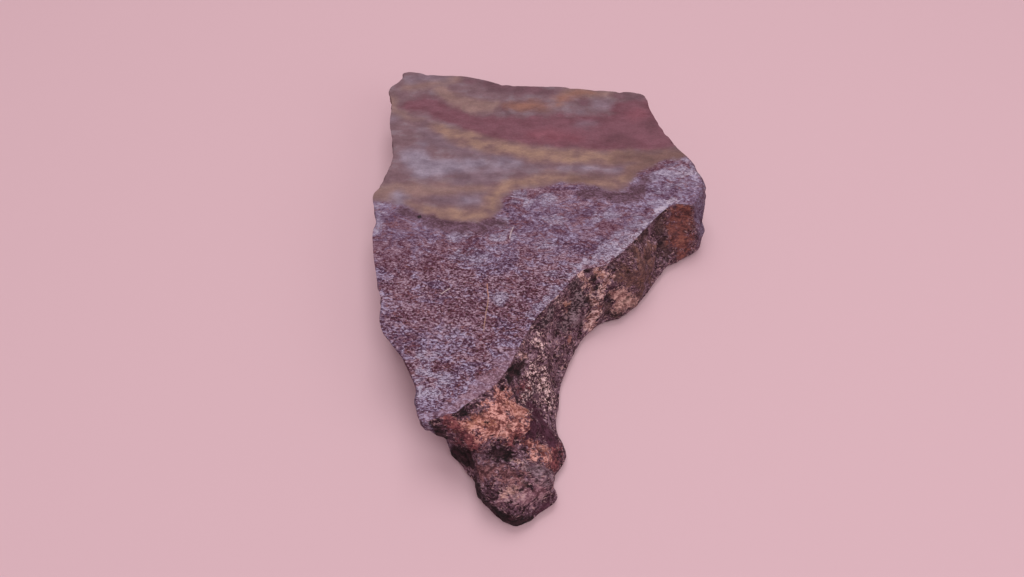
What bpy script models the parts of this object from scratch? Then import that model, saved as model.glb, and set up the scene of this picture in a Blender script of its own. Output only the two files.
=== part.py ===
"""A sawn slab of rhyolite, lying on its lower sawn face.

The stone is one solid. Two parallel saw cuts make the flat top and the flat underside. Between them
runs a wall that nature made: broken faces on the left, far and right sides, and a weathered rind on
the side towards -Y, which runs out into a rounded tongue at the near end.

+Z is up, +Y points to the wide far end, and the origin is under the middle of the slab, on the surface
that it lies on. Numbers are millimetres until the mesh is written, which is in metres.
"""

import itertools

import bpy
import numpy as np

MM = 0.001  # metres in a millimetre

# The saw cuts.
THICKNESS = 11.0  # from the underside to the sawn top
FOOT_HEIGHT = 1.3  # where the wall is widest, above the underside
FOOT_TUCK = 0.8  # how far the wall draws in below that

# The outline, clockwise as seen from above. Each station is a point of the sawn rim and the point of
# the foot below it: (rim x, rim y, foot x, foot y).
FAR_EDGE = [
    (-27.7, 46.5, -26.7, 45.5),
    (-21.2, 45.3, -21.5, 44.5),
    (-15.0, 44.9, -15.3, 44.3),
    (-8.5, 42.7, -9.3, 41.4),
    (-3.5, 41.7, -3.7, 40.7),
    (5.5, 41.4, 5.5, 41.7),
    (14.0, 40.0, 13.9, 40.5),
    (21.2, 38.9, 20.7, 38.3),
]
RIGHT_EDGE = [
    (22.5, 33.1, 22.9, 32.7),
    (25.5, 24.3, 26.5, 24.1),
    (27.8, 20.1, 28.7, 19.1),
    (29.1, 15.3, 30.1, 13.1),
    (28.9, 11.6, 30.3, 9.1),
    (26.9, 8.0, 29.1, 5.5),
]
RIND_EDGE = [
    (23.4, 7.9, 25.3, 3.0),
    (19.5, 4.0, 22.7, 1.3),
    (13.7, -2.7, 18.3, -5.2),
    (10.1, -6.2, 14.1, -9.4),
    (6.3, -7.3, 10.3, -10.9),
    (3.1, -11.1, 7.4, -13.3),
    (-0.9, -16.2, 4.5, -18.3),
    (-4.1, -22.1, 2.7, -23.1),
    (-5.7, -26.1, 2.1, -27.1),
    (-7.9, -29.4, 1.3, -31.5),
]
TONGUE_EDGE = [
    (-9.4, -30.5, 2.9, -36.1),
    (-10.5, -31.3, 0.7, -40.2),
    (-11.5, -32.1, 1.3, -42.9),
    (-12.5, -33.0, -1.2, -45.0),
    (-13.5, -33.9, -4.8, -47.0),
    (-14.7, -34.2, -8.8, -44.4),
    (-15.7, -34.6, -10.7, -40.9),
    (-16.7, -35.0, -13.0, -37.9),
]
LEFT_EDGE = [
    (-18.0, -35.3, -15.3, -34.3),
    (-19.2, -33.9, -16.5, -31.5),
    (-19.7, -29.7, -17.3, -27.5),
    (-21.9, -24.7, -19.7, -22.9),
    (-26.1, -18.9, -23.7, -17.3),
    (-26.7, -13.9, -24.7, -13.1),
    (-28.3, -6.9, -26.3, -6.3),
    (-29.5, -0.9, -27.5, -0.7),
    (-29.6, 5.6, -28.1, 5.5),
    (-30.5, 10.1, -28.9, 10.3),
    (-28.7, 15.1, -28.2, 15.9),
    (-28.0, 22.1, -27.8, 22.1),
    (-29.5, 30.1, -28.7, 29.9),
    (-29.7, 36.1, -28.7, 36.1),
    (-30.5, 40.3, -29.1, 39.9),
    (-28.6, 43.3, -27.7, 42.5),
]

# The profile of each side, from rim to foot: a quadratic curve whose pull point lies at a share of the
# way out and a share of the drop. Equal shares are a straight slope. With more of the way than of the
# drop the side swells out, and with less it is undercut.
SIDES = [  # stations, way out, drop
    (FAR_EDGE, 0.40, 0.60),
    (RIGHT_EDGE, 0.60, 0.40),
    (RIND_EDGE, 0.58, 0.46),
    (TONGUE_EDGE, 0.72, 0.42),
    (LEFT_EDGE, 0.45, 0.55),
]

# The relief of the wall. A mark is a lump, or where its height is negative a hollow, along a path of one
# or more points (x, y, z) on the wall: (height, radius, path).
FACETS = (4.4, 1.40)  # flat break faces: size, height
SWELLS = (9.0, 0.45)  # rolling unevenness: grain, height
CRUMBS = (2.4, 0.42)  # small knobs: grain, height
EDGE_SHARE = 0.15  # how much of the relief the rim and the foot keep
RIM_FADE = 2.5  # depth below the saw cut at which the relief may rise as much as elsewhere
MARKS = [
    (-1.0, 1.5, [(-14.4, -36.6, 4.4), (-12.4, -39.1, 7.0), (-10.6, -39.8, 7.8)]),  # hollow in the tongue
    (-0.5, 1.3, [(-10.6, -39.8, 7.8), (-8.4, -39.1, 7.8)]),  # furrow on from it
    (-1.0, 1.4, [(-7.8, -38.9, 7.8), (-5.7, -39.4, 7.0)]),  # second hollow, at the furrow's end
    (-1.2, 0.9, [(-12.5, -33.9, 10.6), (-11.9, -33.8, 10.5)]),  # pit under the sawn rim
    (1.0, 1.7, [(-17.4, -35.9, 9.0), (-16.0, -36.1, 8.2)]),  # lip of the near left corner
    (-1.9, 2.0, [(-16.4, -34.9, 4.6), (-18.0, -32.4, 4.0)]),  # hollow under the lip
    (-0.8, 2.6, [(-1.2, -34.1, 6.0), (-0.5, -36.0, 4.9)]),  # smooth chipped face beside the tongue
    (0.8, 1.5, [(-1.4, -37.7, 4.8)]),  # knob below it
    (0.7, 1.2, [(-3.9, -39.2, 6.4), (-2.0, -39.8, 5.0), (-0.6, -41.0, 3.5)]),  # crest of the tongue
    (-0.5, 1.5, [(-6.5, -42.1, 5.8), (-10.5, -41.7, 4.4)]),  # step in the tongue
    (-0.9, 1.3, [(-11.0, -39.8, 2.6), (-10.9, -40.4, 4.4)]),  # waist of the tongue
    (-0.9, 1.5, [(20.7, 4.5, 9.8), (21.7, 1.9, 4.1)]),  # valley before the right end
    (0.6, 3.4, [(15.6, -3.3, 7.2), (14.4, -7.1, 3.4)]),  # swelling of the rind
    (0.4, 1.3, [(7.6, -7.7, 9.5), (9.1, -9.4, 5.6), (8.3, -12.0, 1.9)]),  # vein that stands proud
    (-0.8, 1.0, [(10.8, -8.9, 5.4)]),  # pit beside the vein
    (-0.6, 2.2, [(2.4, -15.3, 7.0), (4.8, -15.3, 3.4)]),  # shallow bay
    (0.5, 2.2, [(-1.0, -25.1, 6.1), (0.6, -25.7, 3.6)]),  # swelling below the middle of the rim
    (-0.9, 2.6, [(-28.0, 15.1, 5.0), (-28.0, 20.1, 4.5)]),  # bay in the left side
    (-0.9, 1.4, [(-29.2, 3.1, 7.6), (-27.8, -5.9, 7.0), (-26.0, -13.9, 7.6)]),  # furrow along the left side
    (-0.9, 2.4, [(-10.5, 43.1, 4.2), (-4.5, 41.3, 4.6)]),  # scoop in the far side
    (0.7, 1.6, [(3.5, 42.1, 6.8), (10.5, 41.1, 6.0), (18.5, 39.3, 7.2)]),  # ledge along the far side
    (-0.7, 2.0, [(24.9, 27.1, 4.4), (23.5, 31.1, 5.4)]),  # scoop in the right side
    (-1.1, 2.0, [(-31.2, 39.6, 9.0), (-30.8, 40.8, 6.4)]),  # bay below the far left corner
    (-1.0, 1.9, [(-29.4, 24.4, 8.4), (-29.6, 28.0, 8.6), (-29.8, 30.8, 5.6)]),  # bay next to it
    (-1.3, 1.9, [(-25.2, -20.6, 8.4), (-25.2, -18.4, 6.4)]),  # bay in the near left side
    (-1.0, 1.4, [(-20.2, -29.8, 10.2)]),  # chip out of the rim beside it
    (-0.5, 1.4, [(-27.9, -9.7, 8.6)]),  # shallow chip farther along
    (-1.4, 1.7, [(31.2, 13.4, 8.2)]),  # chip out of the right end
    (-0.5, 2.2, [(30.4, 11.4, 5.6)]),  # flattened break below it
]

# The mesh.
COLUMNS = 230  # round the slab
WALL_ROWS = 16  # from the rim to the foot


def gradient_noise(points, grain, seed):
    """Smooth random values, about -1 to 1. A cube lattice of side grain has a random direction at each
    corner. A point's value is its offset from each corner along that corner's direction, blended over
    the eight corners by smooth weights."""
    random = np.random.default_rng(seed)
    order = random.permutation(256)
    directions = random.normal(size=(256, 3))
    directions /= np.linalg.norm(directions, axis=1, keepdims=True)
    cell = np.floor(points / grain).astype(int)
    within = points / grain - cell
    ease = within**3 * (within * (within * 6 - 15) + 10)
    total = np.zeros(points.shape[:-1])
    for corner in itertools.product((0, 1), repeat=3):
        at = cell + corner
        index = order[(order[(order[at[..., 0] & 255] + at[..., 1]) & 255] + at[..., 2]) & 255]
        weight = np.prod(np.where(corner, ease, 1 - ease), axis=-1)
        total += weight * ((within - corner) * directions[index]).sum(axis=-1)
    return 1.6 * total


def facets(points, size, seed):
    """The flat faces of a break, as heights, about -1 to 1. Each corner of a cube lattice of side size has
    a random height. A cube is cut into six tetrahedra, and a point's height is the straight-line blend
    over its own tetrahedron: it walks from the cube's low corner to the high one, along the axis on
    which the point lies farthest first, and each corner on the way weighs what the next one leaves."""
    order = np.random.default_rng(seed).permutation(256)
    at = np.floor(points / size).astype(int)
    within = points / size - at
    axes = np.argsort(-within, axis=-1)
    shares = np.sort(within, axis=-1)[..., ::-1]
    ones = np.ones(shares[..., :1].shape)
    weights = np.concatenate([ones, shares], axis=-1) - np.concatenate([shares, 0 * ones], axis=-1)
    height = np.zeros(points.shape[:-1])
    for step in range(4):
        if step:
            at = at + np.eye(3, dtype=int)[axes[..., step - 1]]
        index = order[(order[(order[at[..., 0] & 255] + at[..., 1]) & 255] + at[..., 2]) & 255]
        height += weights[..., step] * (index / 127.5 - 1)
    return height


def through(stations, places):
    """The smooth closed curve through the stations, at places counted in stations. Each stretch is a
    cubic whose slope at a station is half the step between that station's neighbours."""
    before = np.floor(places).astype(int)
    t = (places - before)[:, None]
    a, b, c, d = (stations[(before + k) % len(stations)] for k in (-1, 0, 1, 2))
    return 0.5 * (2 * b + (c - a) * t + (2 * a - 5 * b + 4 * c - d) * t**2 + (3 * b - a - 3 * c + d) * t**3)


def even_places(stations, columns):
    """Places for the columns of the mesh, spread so that steps along rim and foot together are even."""
    steps = np.roll(stations, -1, axis=0) - stations
    lengths = np.hypot(steps[:, 0], steps[:, 1]) + np.hypot(steps[:, 2], steps[:, 3])
    reached = np.concatenate([[0], np.cumsum(lengths)])
    wanted = np.linspace(0, reached[-1], columns, endpoint=False)
    return np.interp(wanted, reached, np.arange(len(reached)))


def outward(curve):
    """Unit vectors that point out of a closed clockwise curve, level with it."""
    along = np.roll(curve, -1, axis=0) - np.roll(curve, 1, axis=0)
    out = np.stack([-along[:, 1], along[:, 0]], axis=-1)
    return out / np.linalg.norm(out, axis=1, keepdims=True)


def bare_wall(columns, rows):
    """The wall before its relief, as a grid of points: rows down from the rim to the foot, by columns.
    A column runs from the rim curve to the foot curve along its side's profile."""
    stations = np.array([station for side, _, _ in SIDES for station in side])
    pulls = np.array([(way, drop) for side, way, drop in SIDES for _ in side])
    places = even_places(stations, columns)
    curve = through(stations, places)
    pull_way, pull_drop = through(pulls, places).T
    share = np.linspace(0, 1, rows + 1)[:, None]
    out = 2 * share * (1 - share) * pull_way + share**2
    drop = 2 * share * (1 - share) * pull_drop + share**2
    rim, foot = curve[:, :2], curve[:, 2:]
    level = rim + out[..., None] * (foot - rim)
    height = THICKNESS + drop * (FOOT_HEIGHT - THICKNESS)
    return np.concatenate([level, height[..., None]], axis=-1)


def normals(grid):
    """Unit vectors out of a grid that closes round its columns: the step round, crossed with the step
    down."""
    along = np.roll(grid, -1, axis=1) - np.roll(grid, 1, axis=1)
    down = np.gradient(grid, axis=0)
    out = np.cross(along, down)
    return out / np.linalg.norm(out, axis=-1, keepdims=True)


def mark(points, height, radius, path):
    """A lump along a path: height times a bell curve of the distance to the path over the radius."""
    path = np.array(path)
    nearest = np.linalg.norm(points - path[0], axis=-1)
    for start, end in itertools.pairwise(path):
        step = end - start
        share = np.clip((points - start) @ step / (step @ step), 0, 1)
        distance = np.linalg.norm(points - start - share[..., None] * step, axis=-1)
        nearest = np.minimum(nearest, distance)
    return height * np.exp(-((nearest / radius) ** 2))


def wall(columns, rows):
    """The finished wall: the bare wall pushed out along its normals by the facets, swells, crumbs and
    marks. The push is whole in the middle of the wall and fades to EDGE_SHARE at the rim and the foot,
    whose outlines are drawn already. No point rises to the saw cut, and rim and foot stay level."""
    grid = bare_wall(columns, rows)
    relief = FACETS[1] * facets(grid, FACETS[0], 11)
    relief += SWELLS[1] * gradient_noise(grid, SWELLS[0], 12)
    relief += CRUMBS[1] * gradient_noise(grid, CRUMBS[0], 13)
    for height, radius, path in MARKS:
        relief += mark(grid, height, radius, path)
    middle = np.sin(np.linspace(0, np.pi, rows + 1))[:, None] ** 0.5
    push = normals(grid) * (relief * (EDGE_SHARE + (1 - EDGE_SHARE) * middle))[..., None]
    room = np.clip((THICKNESS - grid[..., 2]) / RIM_FADE, 0, 1)
    push[..., 2] = np.minimum(push[..., 2], push[..., 2] * room)
    push[[0, -1], :, 2] = 0
    return grid + push


def build():
    """Closes the wall with the two sawn faces and makes the slab's object from it."""
    grid = wall(COLUMNS, WALL_ROWS)
    edge = grid[-1].copy()
    edge[:, :2] -= FOOT_TUCK * outward(edge[:, :2])
    edge[:, 2] = 0
    grid = np.concatenate([grid, edge[None]])
    index = np.arange(grid[..., 0].size).reshape(grid.shape[:2])
    upper, lower = index[:-1], index[1:]
    quads = np.stack([upper, np.roll(upper, -1, 1), np.roll(lower, -1, 1), lower], axis=-1)
    top, underside = index[0][::-1], index[-1]
    faces = quads.reshape(-1, 4).tolist() + [top.tolist(), underside.tolist()]
    points = grid.reshape(-1, 3)
    mesh = bpy.data.meshes.new("rhyolite_slab")
    mesh.from_pydata((points * MM).tolist(), [], faces)
    mesh.shade_smooth()
    for sawn in mesh.polygons[-2:]:
        sawn.use_smooth = False
    mesh.materials.append(stone())
    slab = bpy.data.objects.new("rhyolite_slab", mesh)
    bpy.context.scene.collection.objects.link(slab)


def stone():
    """Rhyolite as sawn: a matt mauve ground that the gold and burgundy flow bands cross."""
    material = bpy.data.materials.new("sawn rhyolite")
    material.use_nodes = True
    shader = material.node_tree.nodes["Principled BSDF"]
    shader.inputs["Base Color"].default_value = (0.24, 0.13, 0.17, 1)
    shader.inputs["Roughness"].default_value = 0.7
    shader.inputs["Metallic"].default_value = 0
    return material


for old in list(bpy.data.objects):
    bpy.data.objects.remove(old)
build()
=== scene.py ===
import itertools
import math

import bpy
import numpy as np
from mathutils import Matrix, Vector
from mathutils.geometry import delaunay_2d_cdt


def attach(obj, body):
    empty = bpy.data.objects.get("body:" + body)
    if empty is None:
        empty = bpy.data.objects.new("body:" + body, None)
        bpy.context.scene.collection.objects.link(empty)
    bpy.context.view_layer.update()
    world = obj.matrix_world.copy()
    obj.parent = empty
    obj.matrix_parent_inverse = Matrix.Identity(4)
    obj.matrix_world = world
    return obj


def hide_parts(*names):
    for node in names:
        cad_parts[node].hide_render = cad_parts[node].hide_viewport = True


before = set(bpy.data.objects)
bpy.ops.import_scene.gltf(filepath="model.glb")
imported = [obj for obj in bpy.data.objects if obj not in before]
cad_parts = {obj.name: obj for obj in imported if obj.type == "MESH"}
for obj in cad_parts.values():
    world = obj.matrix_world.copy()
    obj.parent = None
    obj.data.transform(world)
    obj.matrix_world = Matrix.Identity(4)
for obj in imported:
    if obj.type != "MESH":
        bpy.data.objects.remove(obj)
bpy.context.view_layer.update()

# THE RHYOLITE SLAB
# One piece of banded rhyolite. A slab saw made the two flat faces. The sides are as the rock broke,
# and the one towards -Y still wears its weathered rind, which runs out into a rounded tongue.

# Numbers are millimetres, and the mesh is written in metres. Stations, profiles and marks are the
# part's own. The scene adds the fine relief that its coarser solid leaves out.

MM = 0.001  # metres in a millimetre
THICKNESS = 11.0  # from the underside to the sawn top
FOOT_HEIGHT = 1.3  # where the wall is widest, above the underside
FOOT_TUCK = 0.8  # how far the wall draws in below that

# The outline, clockwise as seen from above. Each station is a point of the sawn rim and the point of
# the foot below it: (rim x, rim y, foot x, foot y).
FAR_EDGE = [
    (-27.7, 46.5, -26.7, 45.5),
    (-21.2, 45.3, -21.5, 44.5),
    (-15.0, 44.9, -15.3, 44.3),
    (-8.5, 42.7, -9.3, 41.4),
    (-3.5, 41.7, -3.7, 40.7),
    (5.5, 41.4, 5.5, 41.7),
    (14.0, 40.0, 13.9, 40.5),
    (21.2, 38.9, 20.7, 38.3),
]
RIGHT_EDGE = [
    (22.5, 33.1, 22.9, 32.7),
    (25.5, 24.3, 26.5, 24.1),
    (27.8, 20.1, 28.7, 19.1),
    (29.1, 15.3, 30.1, 13.1),
    (28.9, 11.6, 30.3, 9.1),
    (26.9, 8.0, 29.1, 5.5),
]
RIND_EDGE = [
    (23.4, 7.9, 25.3, 3.0),
    (19.5, 4.0, 22.7, 1.3),
    (13.7, -2.7, 18.3, -5.2),
    (10.1, -6.2, 14.1, -9.4),
    (6.3, -7.3, 10.3, -10.9),
    (3.1, -11.1, 7.4, -13.3),
    (-0.9, -16.2, 4.5, -18.3),
    (-4.1, -22.1, 2.7, -23.1),
    (-5.7, -26.1, 2.1, -27.1),
    (-7.9, -29.4, 1.3, -31.5),
]
TONGUE_EDGE = [
    (-9.4, -30.5, 2.9, -36.1),
    (-10.5, -31.3, 0.7, -40.2),
    (-11.5, -32.1, 1.3, -42.9),
    (-12.5, -33.0, -1.2, -45.0),
    (-13.5, -33.9, -4.8, -47.0),
    (-14.7, -34.2, -8.8, -44.4),
    (-15.7, -34.6, -10.7, -40.9),
    (-16.7, -35.0, -13.0, -37.9),
]
LEFT_EDGE = [
    (-18.0, -35.3, -15.3, -34.3),
    (-19.2, -33.9, -16.5, -31.5),
    (-19.7, -29.7, -17.3, -27.5),
    (-21.9, -24.7, -19.7, -22.9),
    (-26.1, -18.9, -23.7, -17.3),
    (-26.7, -13.9, -24.7, -13.1),
    (-28.3, -6.9, -26.3, -6.3),
    (-29.5, -0.9, -27.5, -0.7),
    (-29.6, 5.6, -28.1, 5.5),
    (-30.5, 10.1, -28.9, 10.3),
    (-28.7, 15.1, -28.2, 15.9),
    (-28.0, 22.1, -27.8, 22.1),
    (-29.5, 30.1, -28.7, 29.9),
    (-29.7, 36.1, -28.7, 36.1),
    (-30.5, 40.3, -29.1, 39.9),
    (-28.6, 43.3, -27.7, 42.5),
]

# The profile of each side, from rim to foot: a quadratic curve whose pull point lies at a share of the
# way out and a share of the drop. The last value is how close its columns stand, because the rind has
# the finest relief.
SIDES = [  # stations, way out, drop, closeness
    (FAR_EDGE, 0.40, 0.60, 1.0),
    (RIGHT_EDGE, 0.60, 0.40, 1.0),
    (RIND_EDGE, 0.58, 0.46, 2.0),
    (TONGUE_EDGE, 0.72, 0.42, 2.0),
    (LEFT_EDGE, 0.45, 0.55, 1.0),
]
RIND_STATIONS = (12.85, 31.7)  # the rind's first and last place, counted in stations
RIND_RAMP = 0.25  # how far into the rind it is whole, in stations

# The relief of the wall. A mark is a lump, or where its height is negative a hollow, along a path of one
# or more points (x, y, z) on the wall: (height, radius, path).
FACETS = (4.4, 1.40)  # flat break faces: size, height
SWELLS = (9.0, 0.45)  # rolling unevenness: grain, height
CRUMBS = (2.4, 0.42)  # small knobs: grain, height
EDGE_SHARE = 0.15  # how much of the relief the rim and the foot keep
RIM_FADE = 2.5  # depth below the saw cut at which the relief may rise as much as elsewhere
MARKS = [
    (-1.0, 1.5, [(-14.4, -36.6, 4.4), (-12.4, -39.1, 7.0), (-10.6, -39.8, 7.8)]),  # hollow in the tongue
    (-0.5, 1.3, [(-10.6, -39.8, 7.8), (-8.4, -39.1, 7.8)]),  # furrow on from it
    (-1.0, 1.4, [(-7.8, -38.9, 7.8), (-5.7, -39.4, 7.0)]),  # second hollow, at the furrow's end
    (-1.2, 0.9, [(-12.5, -33.9, 10.6), (-11.9, -33.8, 10.5)]),  # pit under the sawn rim
    (1.0, 1.7, [(-17.4, -35.9, 9.0), (-16.0, -36.1, 8.2)]),  # lip of the near left corner
    (-1.9, 2.0, [(-16.4, -34.9, 4.6), (-18.0, -32.4, 4.0)]),  # hollow under the lip
    (-0.8, 2.6, [(-1.2, -34.1, 6.0), (-0.5, -36.0, 4.9)]),  # smooth chipped face beside the tongue
    (0.8, 1.5, [(-1.4, -37.7, 4.8)]),  # knob below it
    (0.7, 1.2, [(-3.9, -39.2, 6.4), (-2.0, -39.8, 5.0), (-0.6, -41.0, 3.5)]),  # crest of the tongue
    (-0.5, 1.5, [(-6.5, -42.1, 5.8), (-10.5, -41.7, 4.4)]),  # step in the tongue
    (-0.9, 1.3, [(-11.0, -39.8, 2.6), (-10.9, -40.4, 4.4)]),  # waist of the tongue
    (-0.9, 1.5, [(20.7, 4.5, 9.8), (21.7, 1.9, 4.1)]),  # valley before the right end
    (0.6, 3.4, [(15.6, -3.3, 7.2), (14.4, -7.1, 3.4)]),  # swelling of the rind
    (0.4, 1.3, [(7.6, -7.7, 9.5), (9.1, -9.4, 5.6), (8.3, -12.0, 1.9)]),  # vein that stands proud
    (-0.8, 1.0, [(10.8, -8.9, 5.4)]),  # pit beside the vein
    (-0.6, 2.2, [(2.4, -15.3, 7.0), (4.8, -15.3, 3.4)]),  # shallow bay
    (0.5, 2.2, [(-1.0, -25.1, 6.1), (0.6, -25.7, 3.6)]),  # swelling below the middle of the rim
    (-0.9, 2.6, [(-28.0, 15.1, 5.0), (-28.0, 20.1, 4.5)]),  # bay in the left side
    (-0.9, 1.4, [(-29.2, 3.1, 7.6), (-27.8, -5.9, 7.0), (-26.0, -13.9, 7.6)]),  # furrow along the left side
    (-0.9, 2.4, [(-10.5, 43.1, 4.2), (-4.5, 41.3, 4.6)]),  # scoop in the far side
    (0.7, 1.6, [(3.5, 42.1, 6.8), (10.5, 41.1, 6.0), (18.5, 39.3, 7.2)]),  # ledge along the far side
    (-0.7, 2.0, [(24.9, 27.1, 4.4), (23.5, 31.1, 5.4)]),  # scoop in the right side
    (-1.1, 2.0, [(-31.2, 39.6, 9.0), (-30.8, 40.8, 6.4)]),  # bay below the far left corner
    (-1.0, 1.9, [(-29.4, 24.4, 8.4), (-29.6, 28.0, 8.6), (-29.8, 30.8, 5.6)]),  # bay next to it
    (-1.3, 1.9, [(-25.2, -20.6, 8.4), (-25.2, -18.4, 6.4)]),  # bay in the near left side
    (-1.0, 1.4, [(-20.2, -29.8, 10.2)]),  # chip out of the rim beside it
    (-0.5, 1.4, [(-27.9, -9.7, 8.6)]),  # shallow chip farther along
    (-1.4, 1.7, [(31.2, 13.4, 8.2)]),  # chip out of the right end
    (-0.5, 2.2, [(30.4, 11.4, 5.6)]),  # flattened break below it
]

# The fine relief, over the broken faces and over the rind.
CHIPS = [(2.0, 0.22), (1.0, 0.10)]  # small break faces: size, height
GRAINS = [(1.5, 0.16), (0.8, 0.10)]  # crumbly grain of the rind: grain, height
POCK_SPACING = 1.9  # weathered-out pocks of the rind, about one to a cube of this side
POCK_DEPTH = 0.38
POCK_RADII = (0.10, 0.36)  # least and greatest, as shares of the spacing
FINE_FADE = 0.06  # share of the way down over which the fine relief sets in
RIM_WEAR = (0.05, 0.30)  # how far the sawn rim is worn back: least, and what chips add
RIM_FOLD = 0.5  # the depth over which the wear fades
RIM_SLOPE = 2.2  # how far in the wear reaches on the top, for each mm of it
CHIP_GRAIN = 1.7  # length of the chips along the rim
CHIP_POWER = 1.5  # keeps deep chips rare
KNEE_BULGE = 0.15  # how far the bend below the foot stands out, as a share of the tuck

# The mesh: a grid of rows by columns for the wall, and a lattice of points for each flat face.
COLUMNS = 960
SMOOTHED = 4  # columns on both sides that a rim's or a foot's direction is averaged over
WALL_ROWS = 72  # from the rim to the foot
TOP_LATTICE = 0.55  # spacing of the points
UNDERSIDE_LATTICE = 1.1
ROW_STEP = 0.866  # rows of a triangular lattice, as a share of its spacing
EDGE_GAP = 0.6  # least distance of its points from the edge, as a share of the spacing

NOISE_GAIN = 1.6  # brings gradient noise to about -1 to 1


def scrambled(order, corner):
    """A random number from 0 to 255 for each corner of a cube lattice: its x is looked up in a shuffled
    list, then y is added and looked up, then z."""
    column = order[corner[..., 0] & 255]
    row = order[(column + corner[..., 1]) & 255]
    return order[(row + corner[..., 2]) & 255]


def gradient_noise(points, grain, seed):
    """Smooth random values, about -1 to 1. A cube lattice of side grain has a random direction at each
    corner. A point's value is its offset from each corner along that corner's direction, blended over
    the eight corners by smooth weights."""
    random = np.random.default_rng(seed)
    order = random.permutation(256)
    directions = random.normal(size=(256, 3))
    directions /= np.linalg.norm(directions, axis=1, keepdims=True)
    cell = np.floor(points / grain).astype(int)
    within = points / grain - cell
    ease = within**3 * (within * (within * 6 - 15) + 10)
    total = np.zeros(points.shape[:-1])
    for corner in itertools.product((0, 1), repeat=3):
        direction = directions[scrambled(order, cell + corner)]
        weight = np.prod(np.where(corner, ease, 1 - ease), axis=-1)
        total += weight * ((within - corner) * direction).sum(axis=-1)
    return NOISE_GAIN * total


def facets(points, size, seed):
    """The flat faces of a break, as heights, about -1 to 1. Each corner of a cube lattice of side size has
    a random height. A cube is cut into six tetrahedra, and a point's height is the straight-line blend
    over its own tetrahedron: it walks from the cube's low corner to the high one, along the axis on
    which the point lies farthest first, and each corner on the way weighs what the next one leaves."""
    order = np.random.default_rng(seed).permutation(256)
    at = np.floor(points / size).astype(int)
    within = points / size - at
    axes = np.argsort(-within, axis=-1)
    shares = np.sort(within, axis=-1)[..., ::-1]
    ones = np.ones(shares[..., :1].shape)
    weights = np.concatenate([ones, shares], axis=-1) - np.concatenate([shares, 0 * ones], axis=-1)
    height = np.zeros(points.shape[:-1])
    for step in range(4):
        if step:
            at = at + np.eye(3, dtype=int)[axes[..., step - 1]]
        height += weights[..., step] * (2 * scrambled(order, at) / 255 - 1)
    return height


def pocks(points, spacing, seed):
    """Round pocks as depths from 0 to 1. Each cube of side spacing holds one pock at a random place, with
    a random radius. The depth falls from the pock's middle to its edge as one less the squared share of
    the radius."""
    random = np.random.default_rng(seed)
    order = random.permutation(256)
    places = random.uniform(size=(256, 3))
    radii = random.uniform(*POCK_RADII, size=256)
    cell = np.floor(points / spacing).astype(int)
    within = points / spacing - cell
    depth = np.zeros(points.shape[:-1])
    for step in itertools.product((-1, 0, 1), repeat=3):
        index = scrambled(order, cell + step)
        distance = np.linalg.norm(step + places[index] - within, axis=-1)
        depth = np.maximum(depth, 1 - (distance / radii[index]) ** 2)
    return depth


def through(stations, places):
    """The smooth closed curve through the stations, at places counted in stations. Each stretch is a
    cubic whose slope at a station is half the step between that station's neighbours."""
    before = np.floor(places).astype(int)
    t = (places - before)[:, None]
    a, b, c, d = (stations[(before + k) % len(stations)] for k in (-1, 0, 1, 2))
    return 0.5 * (2 * b + (c - a) * t + (2 * a - 5 * b + 4 * c - d) * t**2 + (3 * b - a - 3 * c + d) * t**3)


def even_places(stations, closeness, columns):
    """Places for the columns of the mesh. Steps along rim and foot together are even, but for the sides
    whose columns stand closer by their closeness."""
    steps = np.roll(stations, -1, axis=0) - stations
    lengths = np.hypot(steps[:, 0], steps[:, 1]) + np.hypot(steps[:, 2], steps[:, 3])
    reached = np.concatenate([[0], np.cumsum(lengths * closeness)])
    wanted = np.linspace(0, reached[-1], columns, endpoint=False)
    return np.interp(wanted, reached, np.arange(len(reached)))


def outward(curve):
    """Unit vectors that point out of a closed clockwise curve, level with it."""
    along = np.roll(curve, -1, axis=0) - np.roll(curve, 1, axis=0)
    out = np.stack([-along[:, 1], along[:, 0]], axis=-1)
    return out / np.linalg.norm(out, axis=1, keepdims=True)


def bare_wall(places, rows):
    """The wall before its relief, as a grid of points: rows down from the rim to the foot, by columns.
    A column runs from the rim curve to the foot curve along its side's profile."""
    stations = np.array([station for side, _, _, _ in SIDES for station in side])
    pulls = np.array([(way, drop) for side, way, drop, _ in SIDES for _ in side])
    curve = through(stations, places)
    pull_way, pull_drop = through(pulls, places).T
    share = np.linspace(0, 1, rows + 1)[:, None]
    out = 2 * share * (1 - share) * pull_way + share**2
    drop = 2 * share * (1 - share) * pull_drop + share**2
    rim, foot = curve[:, :2], curve[:, 2:]
    level = rim + out[..., None] * (foot - rim)
    height = THICKNESS + drop * (FOOT_HEIGHT - THICKNESS)
    return np.concatenate([level, height[..., None]], axis=-1)


def normals(grid):
    """Unit vectors out of a grid that closes round its columns: the step round, crossed with the step
    down."""
    along = np.roll(grid, -1, axis=1) - np.roll(grid, 1, axis=1)
    down = np.gradient(grid, axis=0)
    out = np.cross(along, down)
    return out / np.linalg.norm(out, axis=-1, keepdims=True)


def mark(points, height, radius, path):
    """A lump along a path: height times a bell curve of the distance to the path over the radius."""
    path = np.array(path)
    nearest = np.linalg.norm(points - path[0], axis=-1)
    for start, end in itertools.pairwise(path):
        step = end - start
        share = np.clip((points - start) @ step / (step @ step), 0, 1)
        distance = np.linalg.norm(points - start - share[..., None] * step, axis=-1)
        nearest = np.minimum(nearest, distance)
    return height * np.exp(-((nearest / radius) ** 2))


def rind_share(places):
    """How much of the wall is rind at each place: 1 between the rind's ends, with a short ramp at both."""
    first, last = RIND_STATIONS
    return np.clip((places - first) / RIND_RAMP, 0, 1) * np.clip((last - places) / RIND_RAMP, 0, 1)


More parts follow.
